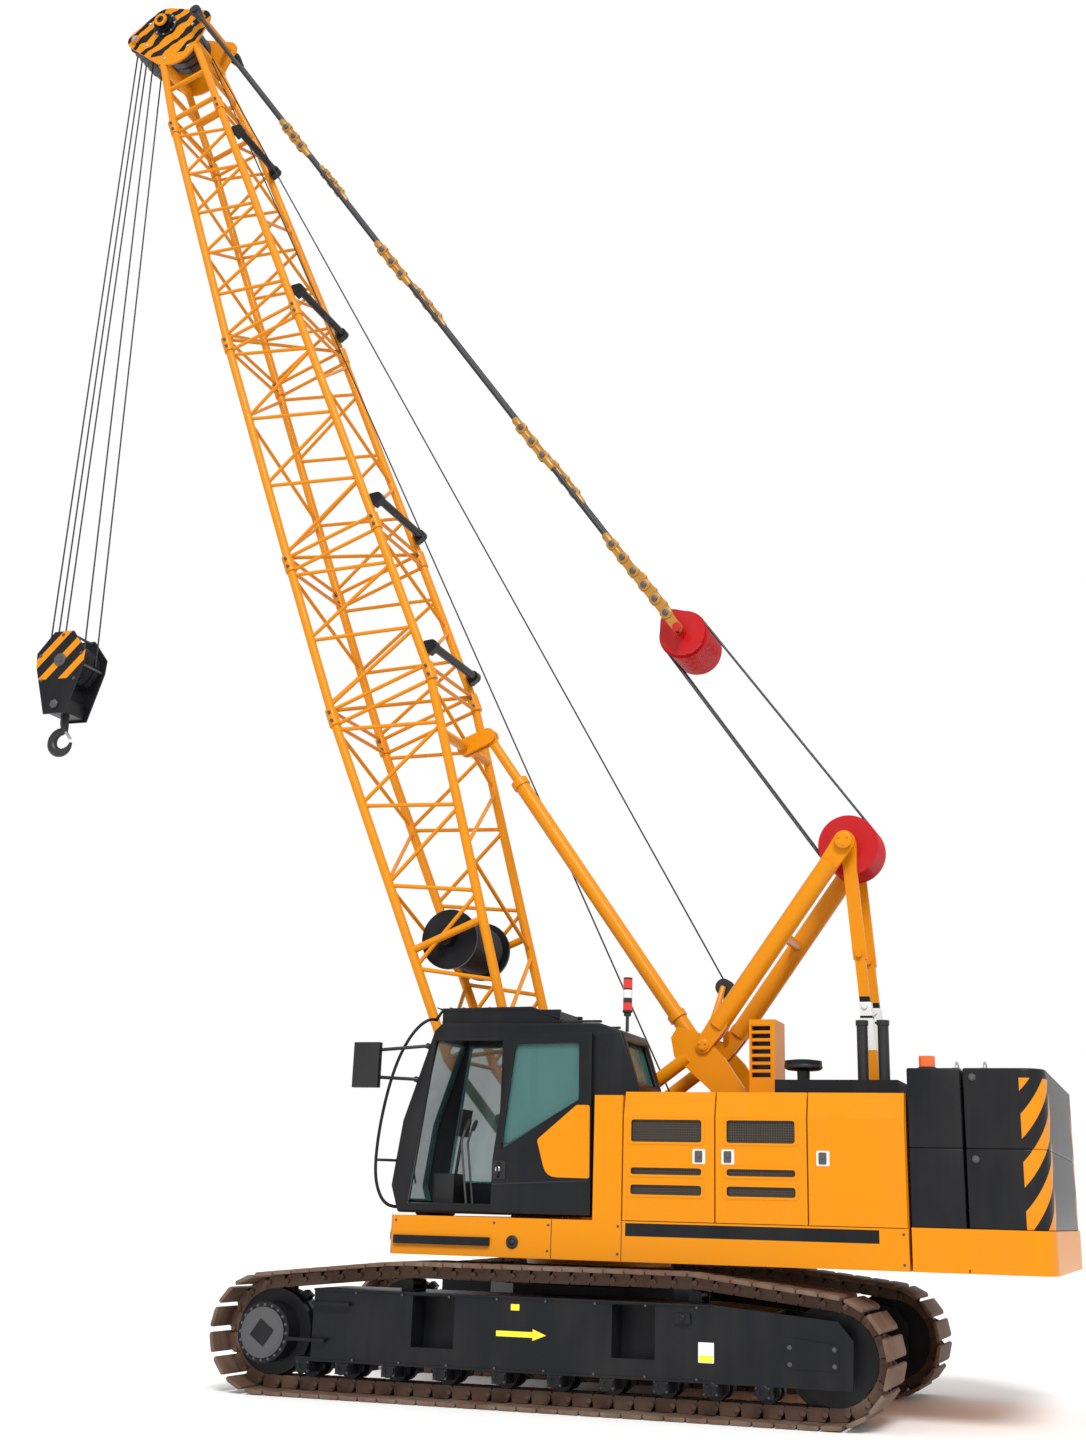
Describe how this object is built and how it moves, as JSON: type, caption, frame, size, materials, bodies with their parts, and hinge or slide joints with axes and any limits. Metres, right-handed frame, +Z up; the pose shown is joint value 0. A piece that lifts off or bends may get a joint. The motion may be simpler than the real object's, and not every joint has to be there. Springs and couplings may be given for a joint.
{
  "type": "crawler crane",
  "caption": "Crawler crane with a lattice boom, gantry, cab, machinery house and counterweight; it slews, luffs and hoists.",
  "frame": {"origin": "on the ground on the slewing axis, midway between the tracks", "axes": "+X forward along the boom, +Y to the cab side, +Z up"},
  "size_m": [10.3385, 3.46, 15.07],
  "materials": {
    "paint_yellow": "gloss orange-yellow paint",
    "paint_charcoal": "satin charcoal paint",
    "paint_red": "gloss red paint",
    "shoe_steel": "brown, dusty and lightly rusted",
    "sheave_steel": "dark satin",
    "rope_steel": "greased steel rope",
    "window_glass": "tinted safety glass",
    "seat_cloth": "dark woven cloth",
    "lamp_lens": "glossy red and amber lens"
  },
  "bodies": {
    "undercarriage": {"carbody": "paint_charcoal", "slew_ring": "paint_charcoal", "track_frame_left": "paint_charcoal", "track_frame_right": "paint_charcoal", "track_left": "shoe_steel", "track_right": "shoe_steel", "sprockets": "paint_charcoal", "idlers": "paint_charcoal", "rollers": "paint_charcoal"},
    "upperworks": {"revolving_frame": "paint_yellow", "house_left": "paint_yellow", "house_right": "paint_yellow", "engine_block": "paint_charcoal", "gantry_base": "paint_yellow", "gantry_front_legs": "paint_yellow", "gantry_rear_legs": "paint_yellow", "gantry_sheaves": "paint_red", "counterweight_tray": "paint_yellow", "counterweight_lower": "paint_charcoal", "counterweight_upper": "paint_charcoal", "cab_shell": "paint_charcoal", "cab_glass": "window_glass", "cab_seat": "seat_cloth", "cab_console": "paint_charcoal", "cab_guard_rails": "paint_charcoal", "mirror": "paint_charcoal", "winches": "paint_charcoal", "intake_box": "paint_yellow", "air_cleaner": "paint_charcoal", "lamps": "lamp_lens"},
    "cab_door_body": {"cab_door": "paint_charcoal", "cab_door_glass": "window_glass"},
    "boom": {"boom_base": "paint_yellow", "boom_insert_short": "paint_yellow", "boom_insert_long": "paint_yellow", "boom_top": "paint_yellow", "boom_head": "paint_yellow", "head_sheaves": "sheave_steel", "rope_rollers": "paint_charcoal", "boom_winch": "paint_charcoal"},
    "backstop_outer": {"backstop_tube": "paint_yellow"},
    "backstop_inner": {"backstop_rod": "paint_yellow"},
    "luffing_ropes": {"suspension_ropes": "rope_steel"},
    "luffing_pendants": {"bridle": "paint_red", "pendants": "rope_steel"},
    "hoist_line": {"hoist_ropes": "rope_steel"},
    "load_block": {"hook_block": "paint_charcoal"},
    "load_hook": {"hook": "paint_charcoal"},
    "door_left_front": {"house_door_left_front": "paint_yellow"},
    "door_left_middle": {"house_door_left_middle": "paint_yellow"},
    "door_left_rear": {"house_door_left_rear": "paint_yellow"},
    "door_right_front": {"house_door_right_front": "paint_yellow"},
    "door_right_middle": {"house_door_right_middle": "paint_yellow"},
    "door_right_rear": {"house_door_right_rear": "paint_yellow"}
  },
  "joints": [
    {"name": "slew", "type": "hinge", "parent": "undercarriage", "child": "upperworks", "pos_m": [0, 0, 1.005], "axis": [0, 0, 1], "continuous": true},
    {"name": "boom_luff", "type": "hinge", "parent": "upperworks", "child": "boom", "pos_m": [0.346, 0, 1.624], "axis": [0, -1, 0], "range_deg": [-38.05, 11.95]},
    {"name": "backstop_swing", "type": "hinge", "parent": "upperworks", "child": "backstop_outer", "pos_m": [-0.84, 0, 2.86], "axis": [0, -1, 0], "range_deg": [-36.01, 11.31]},
    {"name": "backstop_slide", "type": "slide", "parent": "backstop_outer", "child": "backstop_inner", "axis": [0.5832, 0, 0.8123], "range_m": [-0.3478, 1.10741]},
    {"name": "suspension_swing", "type": "hinge", "parent": "upperworks", "child": "luffing_ropes", "pos_m": [-2.278, 0, 4.506], "axis": [0, -1, 0], "range_deg": [-36.81, 11.56]},
    {"name": "suspension_slide", "type": "slide", "parent": "luffing_ropes", "child": "luffing_pendants", "axis": [0.5892, 0, 0.808], "range_m": [-0.79244, 2.52322], "deforming": ["suspension_ropes"]},
    {"name": "hook_plumb", "type": "hinge", "parent": "boom", "child": "hoist_line", "pos_m": [6.10854, 0, 14.66534], "axis": [0, -1, 0], "range_deg": [-11.95, 38.05]},
    {"name": "hoist", "type": "slide", "parent": "hoist_line", "child": "load_block", "axis": [0, 0, -1], "range_m": [-5.5, 5.5], "deforming": ["hoist_ropes"]},
    {"name": "hook_swivel", "type": "hinge", "parent": "load_block", "child": "load_hook", "pos_m": [6.10854, 0, 5.98], "axis": [0, 0, 1], "continuous": true},
    {"name": "cab_door_slide", "type": "slide", "parent": "upperworks", "child": "cab_door_body", "axis": [1, 0, 0], "range_m": [0, 0.75]},
    {"name": "door_left_front_hinge", "type": "hinge", "parent": "upperworks", "child": "door_left_front", "pos_m": [-0.677, 1.4844, 1.37], "axis": [0, 0, -1], "range_deg": [0, 95]},
    {"name": "door_left_middle_hinge", "type": "hinge", "parent": "upperworks", "child": "door_left_middle", "pos_m": [-2.1125, 1.4844, 1.37], "axis": [0, 0, 1], "range_deg": [0, 95]},
    {"name": "door_left_rear_hinge", "type": "hinge", "parent": "upperworks", "child": "door_left_rear", "pos_m": [-2.859, 1.4844, 1.37], "axis": [0, 0, 1], "range_deg": [0, 95]},
    {"name": "door_right_front_hinge", "type": "hinge", "parent": "upperworks", "child": "door_right_front", "pos_m": [-0.677, -1.4844, 1.37], "axis": [0, 0, 1], "range_deg": [0, 95]},
    {"name": "door_right_middle_hinge", "type": "hinge", "parent": "upperworks", "child": "door_right_middle", "pos_m": [-2.1125, -1.4844, 1.37], "axis": [0, 0, -1], "range_deg": [0, 95]},
    {"name": "door_right_rear_hinge", "type": "hinge", "parent": "upperworks", "child": "door_right_rear", "pos_m": [-2.859, -1.4844, 1.37], "axis": [0, 0, -1], "range_deg": [0, 95]}
  ],
  "couplings": [
    {"joint": "backstop_swing", "follows": "boom_luff", "ratio": 0.94647},
    {"joint": "backstop_slide", "follows": "boom_luff", "m_per_rad": -1.6675},
    {"joint": "suspension_swing", "follows": "boom_luff", "ratio": 0.96748},
    {"joint": "suspension_slide", "follows": "boom_luff", "m_per_rad": -3.7995},
    {"joint": "hook_plumb", "follows": "boom_luff", "ratio": -1}
  ]
}
